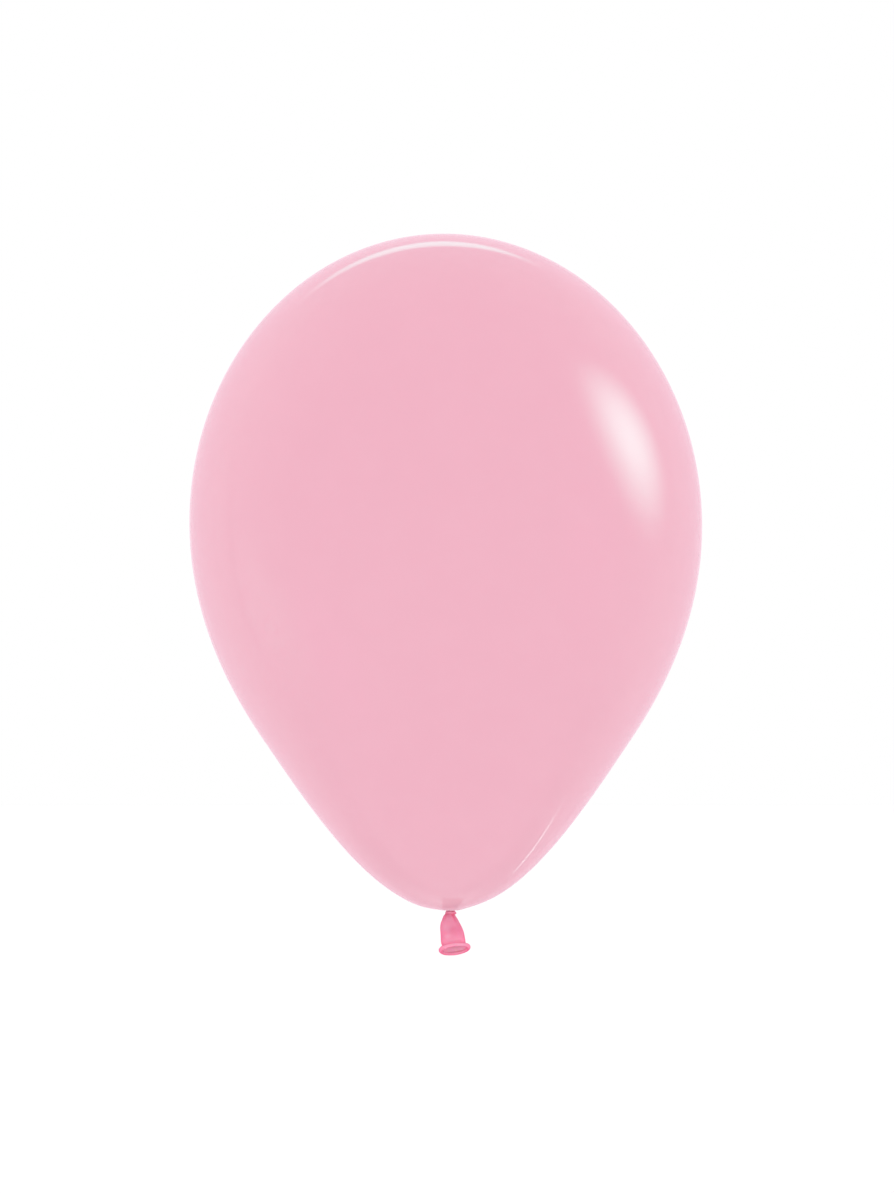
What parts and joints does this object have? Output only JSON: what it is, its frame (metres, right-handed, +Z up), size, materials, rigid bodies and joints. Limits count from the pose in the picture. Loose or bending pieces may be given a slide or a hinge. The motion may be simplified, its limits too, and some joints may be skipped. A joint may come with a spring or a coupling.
{
  "type": "latex balloon",
  "caption": "Drop-shaped latex party balloon, blown up and tied, with a gathered neck, a knot and a flared tail with a rolled lip.",
  "frame": {"origin": "the pinch of the neck, on the envelope's axis, between the envelope and the knot", "axes": "+Z up the envelope's axis towards the crown, +X to the right and -Y towards the viewer, so the mouth of the tail faces down and forward"},
  "size_m": [0.3, 0.3, 0.4222],
  "materials": {
    "film_latex": "gloss",
    "neck_latex": "gloss"
  },
  "bodies": {
    "envelope": {"envelope": "film_latex"},
    "neck": {"gathered_neck": "neck_latex"},
    "knot": {"knot_wrap": "neck_latex", "knot_strand": "neck_latex"},
    "tail": {"tail_sleeve": "neck_latex", "rolled_lip": "neck_latex"}
  },
  "joints": [
    {"name": "neck_twist", "type": "hinge", "parent": "envelope", "child": "neck", "pos_m": [0, 0, 0.004], "axis": [0, 0, 1], "range_deg": [-90, 90], "stiffness_Nm_per_rad": 0.001},
    {"name": "knot_rock", "type": "hinge", "parent": "neck", "child": "knot", "pos_m": [0, 0, 0], "axis": [0, 1, 0], "range_deg": [-30, 30], "stiffness_Nm_per_rad": 0.002},
    {"name": "tail_flex", "type": "hinge", "parent": "knot", "child": "tail", "pos_m": [0, 0, -0.0039], "axis": [1, 0, 0], "range_deg": [-36, 78], "stiffness_Nm_per_rad": 0.0005}
  ]
}
